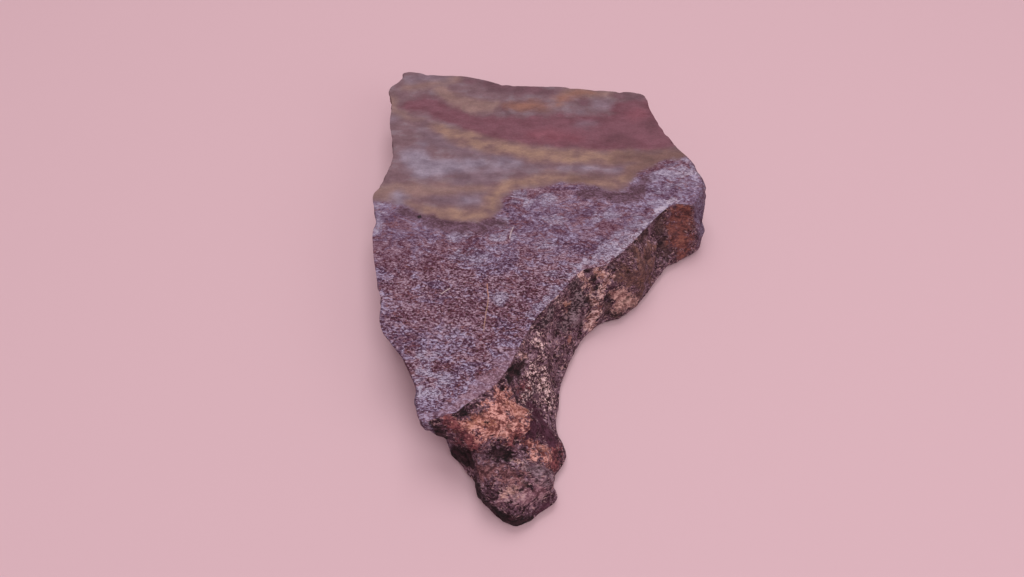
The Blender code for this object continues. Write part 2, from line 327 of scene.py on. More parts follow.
def wall(places, rows):
    """The finished wall, and the height of its fine relief. The bare wall is pushed out along its normals
    by the facets, swells, crumbs and marks, then by the fine relief. The push is whole in the middle of
    the wall and fades to EDGE_SHARE at the rim and the foot. No point rises to the saw cut, and rim and
    foot stay level."""
    grid = bare_wall(places, rows)
    relief = FACETS[1] * facets(grid, FACETS[0], seed=11)
    relief += SWELLS[1] * gradient_noise(grid, SWELLS[0], seed=12)
    relief += CRUMBS[1] * gradient_noise(grid, CRUMBS[0], seed=13)
    for height, radius, path in MARKS:
        relief += mark(grid, height, radius, path)
    middle = np.sin(np.linspace(0, np.pi, rows + 1))[:, None] ** 0.5
    push = normals(grid) * (relief * (EDGE_SHARE + (1 - EDGE_SHARE) * middle))[..., None]
    room = np.clip((THICKNESS - grid[..., 2]) / RIM_FADE, 0, 1)
    push[..., 2] = np.minimum(push[..., 2], push[..., 2] * room)
    push[[0, -1], :, 2] = 0
    grid = grid + push
    rind = rind_share(places)
    broken = sum(height * facets(grid, size, seed=21 + k) for k, (size, height) in enumerate(CHIPS))
    grains = enumerate(GRAINS)
    crumbly = sum(height * gradient_noise(grid, grain, seed=31 + k) for k, (grain, height) in grains)
    crumbly = crumbly - POCK_DEPTH * pocks(grid, POCK_SPACING, seed=41)
    fine = broken * (1 - rind) + crumbly * rind
    below_rim = np.minimum(np.linspace(0, 1, rows + 1) / FINE_FADE, 1)[:, None]
    push = normals(grid) * (fine * below_rim)[..., None]
    push[..., 2] = np.minimum(push[..., 2], push[..., 2] * room)
    return grid + push, fine


def smooth_round(values, reach):
    """Values along a closed line, each averaged with those up to reach places away on both sides."""
    return sum(np.roll(values, k, axis=0) for k in range(-reach, reach + 1)) / (2 * reach + 1)


def whole_wall():
    """The wall with its two bends into the flat faces, as one grid, with the height of its fine relief
    and the places of its columns. At the rim the wear draws the wall back and down by a depth that
    fades with an e-fold of RIM_FOLD, and the first row is the lip where the flat top begins. Below the
    foot come a knee and the tucked edge of the underside."""
    stations = np.array([station for side, _, _, _ in SIDES for station in side])
    closeness = np.array([close for side, _, _, close in SIDES for _ in side])
    places = even_places(stations, closeness, COLUMNS)
    side, fine = wall(places, WALL_ROWS)
    rim = side[0].copy()
    out = outward(smooth_round(rim[:, :2], SMOOTHED))
    chips = np.clip(gradient_noise(rim, CHIP_GRAIN, seed=51), 0, 1) ** CHIP_POWER
    wear = RIM_WEAR[0] + RIM_WEAR[1] * chips
    fade = np.exp(-(THICKNESS - side[..., 2]) / RIM_FOLD)
    side[..., :2] -= out * (wear * fade)[..., None]
    side[..., 2] -= wear * fade
    lip = np.concatenate([rim[:, :2] - out * (RIM_SLOPE * wear)[:, None], rim[:, 2:]], axis=-1)
    under = outward(smooth_round(side[-1, :, :2], SMOOTHED))
    tuck = np.concatenate([side[-1, :, :2] - FOOT_TUCK * under, 0 * side[-1, :, 2:]], axis=-1)
    knee = (side[-1] + tuck) / 2
    knee[:, :2] += KNEE_BULGE * FOOT_TUCK * under
    proud = np.concatenate([0 * fine[:1], fine, 0 * fine[:2]])
    return np.concatenate([lip[None], side, knee[None], tuck[None]]), proud, places


def lattice_inside(edge, spacing):
    """Points of a triangular lattice inside a closed edge, and not too near it. A point is inside when a
    level line from it towards +X crosses the edge an odd number of times."""
    low, high = edge.min(axis=0), edge.max(axis=0)
    y, x = np.mgrid[low[1] : high[1] : spacing * ROW_STEP, low[0] : high[0] : spacing]
    x[::2] += spacing / 2
    points = np.stack([x.ravel(), y.ravel()], axis=-1)
    start, end = edge, np.roll(edge, -1, axis=0)
    spans = (start[:, 1] > points[:, 1:]) != (end[:, 1] > points[:, 1:])
    slope = (end[:, 0] - start[:, 0]) / np.where(end[:, 1] == start[:, 1], 1, end[:, 1] - start[:, 1])
    crosses = spans & (start[:, 0] + (points[:, 1:] - start[:, 1]) * slope > points[:, :1])
    inside = points[crosses.sum(axis=1) % 2 == 1]
    gap = np.min([np.hypot(*(inside - corner).T) for corner in edge], axis=0)
    return inside[gap > EDGE_GAP * spacing]


def flat_face(edge, spacing):
    """A flat face inside a closed level edge: the lattice's points, and triangles that join them to the
    edge, whose points count first. The triangles are Delaunay's, which keep every stretch of the edge."""
    inside = lattice_inside(edge[:, :2], spacing)
    level = [Vector(point) for point in np.concatenate([edge[:, :2], inside]).tolist()]
    loop = [(k, (k + 1) % len(edge)) for k in range(len(edge))]
    made = delaunay_2d_cdt(level, loop, [], 1, 1e-6)  # 1 keeps what is inside the loop
    if len(made[0]) != len(level):
        raise ValueError("the edge of a flat face crosses itself")
    source = np.array([numbers[0] for numbers in made[3]])
    height = np.full((len(inside), 1), edge[0, 2])
    return np.concatenate([inside, height], axis=-1), source[np.array(made[2])]


side_grid, side_proud, places = whole_wall()
top_points, top_faces = flat_face(side_grid[0], TOP_LATTICE)
under_points, under_faces = flat_face(side_grid[-1], UNDERSIDE_LATTICE)
side_points = side_grid.reshape(-1, 3)
points = np.concatenate([side_points, top_points, under_points])
proud = np.zeros(len(points))
proud[: side_proud.size] = side_proud.ravel()

# The flow bands, which the saw cuts across, and the streaks that vary the flecked rock. They dip a
# little, so that they run on down the broken sides and come out on the underside farther back. A streak
# is a path of points (x, y, half width) in the plane of the top. Each kind of streak is one attribute
# of the mesh: the depth inside the nearest streak in mm, negative outside.

FLOW_DIP = (0.10, 0.30)  # how far a band moves in x and y for each mm of depth
FLOW_WAVES = [(6.0, 0.45), (2.2, 0.22)]  # unevenness of the bands: grain, height
FIELD_REACH = 5.0  # deepest and farthest value that a field keeps
STREAKS = {
    "wine": [
        [(-26.0, 35.6, 1.4), (-22.0, 35.6, 2.7), (-18.5, 32.9, 2.5), (-13.5, 30.1, 2.4), (-7.5, 28.3, 3.5),
         (0.5, 27.7, 4.7), (8.5, 27.4, 5.2), (16.5, 27.6, 5.7), (26.5, 28.1, 6.0)],
        [(16.5, 34.5, 2.2), (21.0, 34.0, 3.0)],
    ],
    "red": [
        [(-1.5, 26.6, 1.2), (3.5, 26.4, 1.9), (7.0, 25.6, 0.9)], [(18.5, 32.2, 1.3), (20.5, 32.9, 1.1)],
    ],
    "maroon": [
        [(12.5, 25.6, 1.0), (16.5, 24.6, 1.6)], [(22.0, 28.8, 1.1)],
    ],
    "plum": [
        [(-15.0, 44.0, 0.9), (-11.0, 42.4, 1.7), (-5.5, 40.6, 1.8), (0.0, 40.0, 1.6), (3.0, 39.6, 0.9)],
        [(8.7, 36.3, 1.3)], [(16.0, 38.6, 1.0), (19.5, 37.4, 1.6), (18.5, 35.0, 1.0)],
        [(-6.9, 34.3, 1.0), (-6.0, 33.0, 0.7)],
    ],
    "smoke": [
        [(-23.0, 27.7, 0.9), (-20.0, 25.2, 1.7), (-16.5, 23.2, 1.2), (-12.0, 21.2, 0.8), (-7.5, 20.4, 0.5)],
        [(-15.5, 13.9, 1.2), (-11.5, 14.9, 1.5), (-5.5, 16.7, 0.9), (0.5, 18.2, 0.5)],
        [(-19.0, 9.4, 0.9), (-15.0, 8.8, 1.6), (-11.8, 8.9, 1.4)],
    ],
    "tan": [
        [(-31.0, 10.9, 1.6), (-26.0, 11.6, 1.8), (-20.0, 11.5, 1.7), (-14.0, 11.7, 1.2), (-10.0, 12.4, 0.8)],
        [(-20.0, 40.6, 1.2), (-17.0, 37.2, 1.8), (-13.0, 35.0, 2.2), (-8.5, 35.6, 1.3)],
        [(-27.0, 41.4, 1.0), (-22.0, 42.4, 1.2), (-17.0, 44.2, 0.9)],
        [(5.5, 39.6, 1.0), (10.0, 39.8, 1.5), (14.5, 39.4, 1.1)],
        [(-29.8, 38.0, 1.2), (-29.0, 34.0, 1.0), (-24.0, 31.0, 0.7)],
    ],
    "gold": [
        [(-20.5, 29.1, 1.0), (-17.0, 26.9, 1.9), (-12.5, 24.8, 2.2), (-8.0, 23.1, 2.1), (-4.3, 22.0, 1.9)],
        [(-2.8, 21.6, 1.7), (0.5, 20.8, 2.0), (6.0, 20.4, 2.0), (12.5, 20.1, 1.8), (18.5, 20.2, 1.7),
         (24.5, 20.9, 1.2), (28.0, 21.0, 0.9)],
        [(-24.0, 8.6, 0.5), (-21.5, 7.1, 1.0), (-18.0, 5.7, 1.5), (-14.0, 5.1, 1.6), (-11.0, 5.3, 1.6),
         (-9.4, 7.1, 1.5), (-8.8, 9.7, 1.3), (-7.7, 11.7, 1.4), (-4.5, 13.3, 1.5), (1.0, 14.6, 1.6),
         (5.0, 14.9, 1.2), (8.5, 13.9, 1.0), (11.5, 13.6, 1.4), (13.2, 13.2, 1.8), (15.0, 14.6, 1.5),
         (16.6, 16.6, 1.3), (19.0, 18.5, 1.2), (21.5, 19.8, 1.1)],
    ],
    "brown": [
        [(6.0, 14.4, 0.6), (8.6, 14.4, 1.0), (10.6, 14.6, 0.5)],
        [(15.6, 15.4, 0.7), (16.8, 16.8, 1.0), (21.5, 19.8, 1.2)], [(14.5, 20.0, 1.4), (28.0, 21.0, 1.4)],
    ],
    "orange": [
        [(3.8, 36.2, 1.0), (4.6, 37.8, 1.2), (7.0, 39.4, 1.1), (11.0, 39.8, 0.6)],
        [(-5.2, 35.4, 1.3), (-2.2, 35.4, 1.6), (1.2, 34.6, 1.2)],
    ],
    "lilac": [
        [(-23.7, 20.3, 2.2), (-21.5, 17.4, 2.9), (-18.0, 17.5, 2.3), (-13.5, 18.1, 1.6), (-8.5, 18.5, 1.0),
         (-4.6, 18.6, 0.6)],
        [(-22.3, 24.2, 0.4)], [(-13.4, 8.6, 0.6), (-11.6, 8.6, 0.5)],
        [(-25.9, 10.0, 0.8), (-25.6, 8.2, 0.7)], [(3.5, 17.3, 0.2), (10.5, 17.3, 0.3), (14.0, 16.6, 0.2)],
    ],
    "mist": [
        [(-26.0, 43.6, 1.0), (-23.0, 44.6, 1.3), (-19.6, 44.4, 0.8)], [(-29.0, 31.4, 1.1)],
        [(11.8, 35.6, 1.5), (13.4, 36.2, 1.3)], [(8.0, 33.8, 0.5)], [(7.5, 29.6, 0.3), (11.0, 30.0, 0.5)],
    ],
    "border": [  # maroon rock along the gold band
        [(-25.0, 6.6, 0.8), (-22.0, 5.2, 1.2), (-19.0, 3.6, 1.5), (-15.0, 2.6, 1.6), (-11.0, 2.4, 1.5),
         (-8.0, 3.4, 1.0)],
        [(7.5, 11.2, 1.0), (11.0, 10.2, 1.5), (14.5, 9.9, 1.6), (17.5, 11.4, 1.8), (19.0, 14.2, 1.2)],
    ],
    "cool": [  # where the flecks are bluer
        [(30.0, 17.0, 5.0), (20.0, 8.0, 6.0), (8.0, 1.0, 6.0), (0.0, 2.0, 4.0)],
        [(-18.0, -30.0, 3.5), (-13.5, -24.5, 3.0), (-12.0, -21.0, 1.5)],
        [(2.0, -9.0, 1.5), (6.0, -4.0, 3.0)], [(-27.0, -6.0, 2.0), (-26.0, -16.0, 2.0)],
    ],
    "dusk": [  # where they are darker
        [(-8.8, -11.6, 2.0), (-7.6, -17.0, 3.0), (-5.8, -21.0, 2.4)],
        [(-9.0, -19.4, 2.6), (-9.6, -21.6, 2.2)], [(-4.2, -12.4, 2.2), (-3.4, -16.6, 2.2)],
        [(1.8, -5.0, 1.4)], [(8.0, 5.2, 1.2)], [(-15.8, -15.4, 1.6), (-12.2, -16.4, 1.8)],
        [(-25.4, -12.6, 1.2)], [(-20.6, -20.0, 1.2), (-20.2, -24.4, 1.2)],
    ],
    "frost": [  # where pale flecks crowd
        [(1.4, 4.8, 1.2), (3.2, 4.0, 0.8)], [(-14.8, -4.0, 1.2), (-11.2, -5.3, 1.0)],
        [(27.4, 19.2, 0.8), (22.8, 17.2, 0.8), (19.4, 15.0, 0.5)],
        [(28.6, 17.5, 1.2), (25.0, 16.4, 1.2), (20.5, 14.8, 0.7)],
        [(28.0, 13.8, 0.9), (23.5, 12.4, 0.8), (20.0, 11.0, 0.4)],
        [(24.0, 8.8, 0.4), (20.6, 6.0, 1.2), (17.5, 4.0, 1.0), (14.5, 0.8, 1.1), (12.0, -2.2, 1.0),
         (8.0, -5.5, 0.7), (4.5, -8.2, 0.8), (2.0, -11.6, 0.6), (-1.6, -16.8, 0.4)],
        [(-4.8, 10.2, 1.1), (-2.6, 8.2, 0.7)], [(0.6, 9.6, 0.9)], [(11.4, 5.2, 1.2)], [(-7.3, 3.7, 0.6)],
        [(-15.4, 0.0, 0.8), (-13.0, 0.6, 0.7)], [(-8.6, -0.8, 0.9), (-5.6, -0.2, 0.6)], [(0.1, -1.2, 0.9)],
        [(1.5, -7.4, 0.7)], [(-8.0, -12.0, 0.8), (-7.2, -13.2, 0.6)], [(-14.0, -20.0, 0.6)],
        [(-18.6, -24.3, 0.5)], [(-18.8, -27.4, 0.8), (-16.0, -28.2, 0.7)],
        [(-19.0, -30.4, 0.9), (-17.6, -31.3, 0.7)], [(-29.3, 7.6, 0.5), (-28.3, 1.4, 0.7)],
    ],
    "pale rim": [  # pale lavender strip on the top along the rind's rim
        [(23.6, 9.0, 0.3), (21.9, 7.4, 0.4), (19.8, 5.2, 0.5), (17.2, 2.4, 0.4), (14.6, -0.8, 0.4),
         (12.2, -3.4, 0.3), (10.6, -4.8, 0.1)],
        [(28.8, 16.4, 0.5), (26.2, 15.6, 0.4)],
    ],
    "lip": [  # smoother rock above the tongue
        [(-4.4, -22.6, 0.4), (-5.8, -25.2, 0.9), (-7.6, -27.9, 1.2), (-10.2, -30.1, 1.4), (-13.4, -32.9, 1.1),
         (-17.6, -34.6, 0.7)],
    ],
}
# Where the flecked rock begins, on the near side of the gold: from left to right along the top.
FLECKED_EDGE = [
    (-33.0, 9.7), (-28.5, 8.9), (-25.0, 8.0), (-22.0, 6.3), (-19.5, 4.9), (-15.5, 3.8), (-11.5, 3.7),
    (-8.9, 4.8), (-7.6, 7.2), (-7.2, 9.4), (-6.0, 11.2), (-2.5, 12.0), (0.5, 12.5), (3.5, 13.6),
    (6.5, 13.3), (9.5, 12.4), (11.5, 11.5), (13.5, 11.2), (15.5, 12.4), (16.5, 14.6), (19.0, 17.0),
    (21.5, 18.4), (24.5, 19.6), (32.0, 21.0),
]


def depth_inside(points, path):
    """How deep points lie inside a streak, in mm: its half width less the distance to its middle line.
    The path's points end in their half width. On each stretch the share nearest to a point gives both
    the distance and the width there, and the deepest stretch counts."""
    path = np.array(path, dtype=float)
    middle, half = path[:, :-1], path[:, -1]
    depth = half[0] - np.linalg.norm(points - middle[0], axis=-1)
    for k in range(len(path) - 1):
        step = middle[k + 1] - middle[k]
        share = np.clip((points - middle[k]) @ step / (step @ step), 0, 1)
        distance = np.linalg.norm(points - middle[k] - share[..., None] * step, axis=-1)
        depth = np.maximum(depth, half[k] + share * (half[k + 1] - half[k]) - distance)
    return depth


def field(points, streaks):
    """The depth inside the nearest of several streaks, kept within FIELD_REACH."""
    depth = np.max([depth_inside(points, path) for path in streaks], axis=0)
    return np.clip(depth, -FIELD_REACH, FIELD_REACH)


flow = points[:, :2] + np.array(FLOW_DIP) * (THICKNESS - points[:, 2:])
for k, (grain, height) in enumerate(FLOW_WAVES):
    waves = [gradient_noise(points, grain, seed=61 + 2 * k + axis) for axis in (0, 1)]
    flow = flow + height * np.stack(waves, axis=-1)
fields = {name: field(flow, streaks) for name, streaks in STREAKS.items()}
edge_x, edge_y = np.array(FLECKED_EDGE).T
near_side = np.where(flow[:, 1] < np.interp(flow[:, 0], edge_x, edge_y), 1, -1)
to_edge = -depth_inside(flow, [(x, y, 0) for x, y in FLECKED_EDGE])
fields["flecked"] = np.clip(near_side * to_edge, -FIELD_REACH, FIELD_REACH)

# The rind's crusts and stains, named for what they are, and near-black painted shade in its hollows and
# undercuts. A patch is a path of points (x, y, z, radius) on the rind, and each kind is one attribute as
# above.

CRUSTS = {
    "charcoal": [
        [(5.0, -9.7, 10.1, 0.9), (6.0, -10.7, 7.4, 1.2), (4.6, -12.3, 6.7, 1.3), (3.5, -14.1, 5.9, 1.1)],
        [(1.2, -14.6, 10.0, 0.7), (-0.6, -17.6, 9.8, 0.6)],
        [(-2.6, -27.6, 6.6, 0.9), (-3.4, -29.6, 7.4, 0.8)],
    ],
    "bister": [
        [(20.8, 5.9, 10.5, 0.9), (21.3, 4.6, 6.6, 1.3), (22.4, 2.9, 3.6, 1.2)],
        [(17.6, 1.8, 10.3, 0.8), (14.8, -2.0, 10.2, 0.6)],
        [(10.5, -10.0, 4.2, 0.9), (12.5, -10.0, 2.6, 0.8)],
    ],
    "umber": [
        [(18.2, 0.2, 9.2, 0.9), (18.4, -0.2, 8.1, 1.2), (18.8, -2.2, 6.0, 1.5), (19.6, -2.4, 3.2, 1.2)],
        [(16.4, -2.2, 9.6, 1.1), (17.0, -4.4, 6.6, 1.5), (17.2, -6.0, 3.4, 1.3)],
        [(14.8, -3.4, 8.2, 1.3), (14.4, -5.6, 5.2, 1.3)], [(20.4, 0.8, 6.4, 1.3)],
        [(13.0, -5.2, 9.6, 1.1), (12.8, -6.3, 8.8, 1.0), (15.3, -6.1, 6.9, 1.2)],
    ],
    "oxblood": [
        [(-14.9, -35.0, 10.5, 0.9), (-13.2, -35.7, 10.1, 1.3), (-11.6, -36.9, 9.4, 1.5)],
        [(-12.6, -36.6, 7.4, 1.0), (-11.2, -38.0, 8.2, 1.0)],
        [(-3.9, -34.9, 8.0, 0.6), (-4.6, -35.9, 7.7, 0.9), (-5.8, -37.0, 7.5, 0.7)],
        [(1.3, -36.1, 2.8, 1.1), (1.0, -38.1, 2.1, 1.0)],
        [(-4.0, -29.0, 8.4, 0.5), (-2.6, -27.4, 8.0, 0.6)],
    ],
    "rust": [
        [(23.3, 7.2, 9.9, 0.9), (25.9, 7.8, 9.8, 0.9), (26.9, 6.6, 7.3, 0.7), (27.2, 5.1, 4.8, 0.6)],
        [(23.4, 7.0, 9.4, 0.7), (23.4, 6.1, 7.4, 0.9), (23.8, 4.5, 5.6, 0.9), (25.6, 4.1, 3.5, 0.8)],
        [(25.0, 6.9, 8.6, 1.2), (25.4, 5.6, 6.4, 1.2), (25.4, 4.0, 2.6, 1.2), (27.2, 4.6, 2.4, 0.8)],
    ],
    "dun": [
        [(-10.2, -40.6, 6.0, 1.2), (-7.3, -41.3, 6.9, 1.4), (-4.8, -41.3, 6.0, 1.1)],
    ],
    "mauve tip": [
        [(-6.4, -44.4, 5.3, 0.8), (-3.7, -43.9, 5.1, 1.4), (-1.3, -43.1, 4.0, 1.1)],
    ],
    "plum facet": [
        [(-2.8, -29.8, 6.1, 0.7), (-1.6, -31.0, 4.8, 1.3), (-0.6, -33.0, 4.8, 2.0), (0.8, -34.8, 3.7, 1.0)],
        [(-2.5, -33.2, 7.0, 1.0), (-2.4, -35.2, 6.5, 1.0)],
        [(-0.4, -44.1, 1.6, 0.7), (-2.0, -45.4, 1.5, 0.6)],
    ],
    "buff": [
        [(11.9, -8.6, 6.4, 0.7), (12.6, -8.2, 5.8, 1.1), (14.0, -8.1, 4.0, 1.5), (15.7, -7.9, 2.8, 1.1)],
        [(13.4, -9.2, 3.4, 1.1)],
        [(-6.6, -43.9, 5.8, 0.3), (-5.2, -43.6, 5.8, 0.5), (-4.1, -43.2, 5.3, 0.3)],
    ],
    "crust": [
        [(6.2, -7.6, 10.6, 0.4), (7.3, -8.3, 9.3, 0.55), (8.2, -9.5, 7.1, 0.45), (8.9, -10.4, 6.3, 0.4)],
        [(9.2, -7.0, 10.0, 0.6), (10.7, -7.6, 9.1, 0.7), (9.8, -8.4, 8.2, 0.6), (9.2, -9.7, 7.4, 0.5)],
        [(9.0, -11.4, 4.7, 0.6), (8.0, -11.8, 3.7, 0.9), (7.9, -12.7, 2.6, 0.8)],
        [(-4.9, -39.2, 6.3, 0.4), (-4.0, -39.6, 6.3, 0.4)], [(-3.6, -23.7, 10.2, 0.4)],
    ],
    "peach": [
        [(-7.7, -30.1, 10.3, 0.8), (-6.0, -30.2, 9.2, 1.1), (-6.5, -31.8, 9.5, 1.6), (-8.6, -33.6, 10.1, 1.4),
         (-9.6, -34.9, 10.0, 1.3)],
        [(-5.2, -31.7, 8.8, 1.4), (-4.3, -33.0, 8.1, 1.4), (-4.6, -34.4, 8.0, 1.3), (-7.2, -35.4, 8.8, 1.4),
         (-9.2, -36.5, 9.2, 1.0)],
        [(-7.4, -33.4, 9.3, 1.7)],
        [(-2.7, -36.7, 5.6, 0.5), (-0.9, -36.8, 4.7, 0.7), (0.0, -37.7, 3.7, 0.6)],
        [(-2.0, -38.1, 5.1, 0.6)], [(-12.8, -35.5, 10.1, 0.4), (-11.0, -36.1, 9.8, 0.6)],
    ],
    "ochre": [
        [(-5.3, -31.5, 8.7, 0.8), (-3.7, -32.4, 8.1, 0.9)],
        [(-10.8, -34.6, 10.2, 0.6), (-8.6, -35.1, 9.8, 0.7)], [(-6.6, -36.2, 8.4, 0.5)],
        [(3.3, -11.8, 8.0, 0.2), (3.7, -12.7, 7.0, 0.2)], [(4.2, -16.4, 3.6, 0.4)],
        [(9.4, -7.2, 10.0, 0.35)], [(9.6, -10.6, 5.6, 0.4)], [(-0.4, -36.4, 4.6, 0.5)],
    ],
    "silica": [
        [(-3.2, -39.9, 6.0, 0.5), (-1.6, -41.0, 5.8, 0.6), (-0.1, -41.8, 4.8, 0.6)],
        [(4.8, -13.4, 5.9, 0.6), (5.9, -13.3, 4.7, 0.6)],
    ],
    "tan flecks": [
        [(-1.8, -19.6, 9.8, 0.2), (-0.7, -21.7, 8.2, 0.4)],
        [(-2.4, -25.4, 7.8, 1.0), (-1.2, -25.8, 6.4, 1.5), (0.1, -26.2, 4.9, 1.6), (0.2, -27.8, 3.6, 0.9)],
        [(-3.0, -31.4, 7.8, 0.6), (-2.2, -29.8, 6.8, 0.7)], [(2.6, -12.4, 9.4, 0.6)],
    ],
    # near-black painted shade in the hollows and pits, under the near left lip and along the tongue's lower
    # edge
    "black shade": [
        [(-14.2, -36.4, 2.6, 1.6), (-13.4, -37.1, 4.0, 2.0), (-11.8, -38.4, 4.8, 1.5)],
        [(-8.1, -38.0, 6.5, 0.8), (-6.8, -38.4, 6.5, 0.9), (-5.6, -38.9, 6.0, 0.5)],
        [(-12.7, -33.7, 10.5, 0.8)],
        [(-11.4, -41.0, 2.0, 1.3), (-10.2, -43.0, 4.2, 1.1), (-8.8, -44.7, 3.1, 1.5), (-7.1, -46.0, 2.4, 1.6),
         (-4.9, -46.8, 2.0, 1.5), (-2.6, -46.4, 1.2, 1.0)],
        [(-17.6, -35.7, 10.0, 0.9), (-16.2, -35.9, 8.8, 0.8), (-15.5, -35.2, 6.0, 1.2)],
        [(8.9, -8.9, 8.1, 0.45)], [(10.7, -9.0, 6.0, 0.65)], [(8.2, -7.7, 9.5, 0.55)],
        [(7.4, -10.0, 6.6, 0.5)],
        [(-5.9, -27.5, 9.9, 0.8), (-4.9, -25.9, 9.8, 1.0), (-3.9, -24.4, 9.3, 0.6)],
        [(-4.2, -28.6, 8.6, 0.7)], [(-3.3, -42.0, 6.0, 0.3)],
    ],
}
fields.update({name: field(points, patches) for name, patches in CRUSTS.items()})
rind = np.zeros(len(points))
rind[: side_proud.size] = np.broadcast_to(rind_share(places), side_proud.shape).ravel()
fields["rind"] = rind
fields["proud"] = proud


def stone_mesh(name):
    """The closed mesh: quads down the wall, and the triangles of the two flat faces, whose edges are the
    wall's first and last row. Quads below the rim take the second material."""
    index = np.arange(len(side_points)).reshape(side_grid.shape[:2])
    upper, lower = index[:-1], index[1:]
    quads = np.stack([upper, np.roll(upper, -1, 1), np.roll(lower, -1, 1), lower], axis=-1)
    top_numbers = np.concatenate([index[0], len(side_points) + np.arange(len(top_points))])
    below = len(side_points) + len(top_points)
    under_numbers = np.concatenate([index[-1], below + np.arange(len(under_points))])
    top = top_numbers[top_faces]
    under = under_numbers[under_faces][:, ::-1]
    faces = quads.reshape(-1, 4).tolist() + top.tolist() + under.tolist()
    mesh = bpy.data.meshes.new(name)
    mesh.from_pydata((points * MM).tolist(), [], faces)
    weathered = np.zeros(len(faces), dtype=np.int32)
    weathered[COLUMNS : upper.size] = 1
    mesh.polygons.foreach_set("material_index", weathered)
    return mesh


CREASE_DEGREES = 32.0  # edges sharper than this show as edges

mesh = stone_mesh("rhyolite_stone")
mesh.shade_smooth()
mesh.set_sharp_from_angle(angle=math.radians(CREASE_DEGREES))
for name, values in fields.items():
    layer = mesh.attributes.new(name, "FLOAT", "POINT")
    layer.data.foreach_set("value", values.astype(np.float32))
stone = bpy.data.objects.new("rhyolite_stone", mesh)
bpy.context.scene.collection.objects.link(stone)


def linear(code):
    """An sRGB hex colour as linear values: c / 12.92 up to 0.04045, and ((c + 0.055) / 1.055) to the
    power of 2.4 above."""
    parts = np.array([int(code[k : k + 2], 16) for k in (0, 2, 4)]) / 255
    return (*np.where(parts <= 0.04045, parts / 12.92, ((parts + 0.055) / 1.055) ** 2.4).tolist(), 1)


def add(tree, kind, inputs, stops=(), **settings):
    """Adds a node with its settings and gives its outputs. Its inputs come in their order, or by name or
    number, and each is a socket to link or a value. A colour ramp has stops of (value, hex code)."""
    made = tree.nodes.new("ShaderNode" + kind)
    for name, value in settings.items():
        setattr(made, name, value)
    for place, value in inputs.items() if isinstance(inputs, dict) else enumerate(inputs):
        if isinstance(value, bpy.types.NodeSocket):
            tree.links.new(value, made.inputs[place])
        else:
            made.inputs[place].default_value = value
    if stops:
        elements = made.color_ramp.elements
        while len(elements) < len(stops):
            elements.new(0.5)
        for element, (place, code) in zip(elements, stops):
            element.position = place
            element.color = linear(code)
    return made.outputs


def weighted(tree, middle, patterns, extras=()):
    """A middle value, plus each pattern's departure from 0.5 times its weight, plus each extra value times
    its weight."""
    patterns = list(patterns)
    total = middle - sum(weight for _, weight in patterns) / 2
    for term, weight in (*patterns, *extras):
        total = add(tree, "Math", [term, weight, total], operation="MULTIPLY_ADD")[0]
    return total


def coated(tree, colour, coats):
    """A colour with coats laid over it in turn. A coat is the share that it covers, its strength, and its
    colour, which is a socket or a hex code."""
    for share, strength, coat in coats:
        cover = add(tree, "Math", [share, strength], operation="MULTIPLY")[0]
        coat = linear(coat) if isinstance(coat, str) else coat
        colour = add(tree, "Mix", {0: cover, 6: colour, 7: coat}, data_type="RGBA")[2]
    return colour


LATTICE_TURN = (0.6, 0.8, 1.1)  # keeps the lattice of a drawn-out pattern from lining up with the slab


def cloudy(tree, place, kinds):
    """Cloudy patterns about 0.5, three independent ones to a name. A kind gives how the pattern is drawn
    out, its grain in mm, octaves, roughness and swirl. Each octave has half the grain of the one before
    and roughness times its strength, and swirl bends the pattern by itself. A pattern is drawn out by
    scaling its coordinates, which are then turned."""
    made = {}
    for name, (lie, grain, octaves, roughness, swirl) in kinds.items():
        at = place
        if lie:
            at = add(tree, "Mapping", {"Vector": place, "Scale": lie, "Rotation": LATTICE_TURN})[0]
        inputs = {
            "Vector": at,
            "Scale": 1 / (grain * MM),
            "Detail": octaves - 1,
            "Roughness": roughness,
            "Distortion": swirl,
        }
        whole = add(tree, "TexNoise", inputs)["Color"]
        made[name] = list(add(tree, "SeparateColor", [whole]))
    return made


def share_inside(tree, name, pattern, soft, ragged):
    """The share of a streak or patch: from 0 at soft mm outside its edge to 1 at soft mm inside, with the
    edge moved in and out by a pattern about 0.5, ragged mm for each unit of it."""
    depth = add(tree, "Attribute", [], attribute_name=name)["Fac"]
    moved = weighted(tree, 0.0, [(pattern, ragged)], [(depth, 1.0)])
    return add(tree, "MapRange", [moved, -soft, soft], interpolation_type="SMOOTHSTEP")[0]


LINE_CORE = 0.4  # share of the half width within which a thin line is whole
LINE_FADE = 0.15  # mm over which it sets in at its ends
LINE_WAVES = 0.5  # how far it wanders, in mm for each unit of a pattern


def along_line(tree, place, pattern, start, end, half):
    """The share of a thin straight line in the top, from start to end (x, y in mm). The coordinates are
    moved and turned so that the line is their x axis. The share falls to 0 at the half width and at
    both ends, and the line wanders by a pattern about 0.5."""
    turn = math.atan2(end[1] - start[1], end[0] - start[0])
    inputs = {"Vector": place, "Location": (start[0] * MM, start[1] * MM, 0), "Rotation": (0, 0, turn)}
    own = add(tree, "Mapping", inputs, vector_type="TEXTURE")[0]
    along, level, _ = add(tree, "SeparateXYZ", [own])
    across = weighted(tree, 0.0, [(pattern, LINE_WAVES * MM)], [(level, 1.0)])
    across = add(tree, "Math", [across], operation="ABSOLUTE")[0]
    length = math.dist(start, end) * MM
    share = add(tree, "MapRange", [across, half * MM, LINE_CORE * half * MM])[0]
    first = add(tree, "MapRange", [along, 0.0, LINE_FADE * MM])[0]
    last = add(tree, "MapRange", [along, length, length - LINE_FADE * MM])[0]
    share = add(tree, "Math", [share, first], operation="MULTIPLY")[0]
    return add(tree, "Math", [share, last], operation="MULTIPLY")[0]


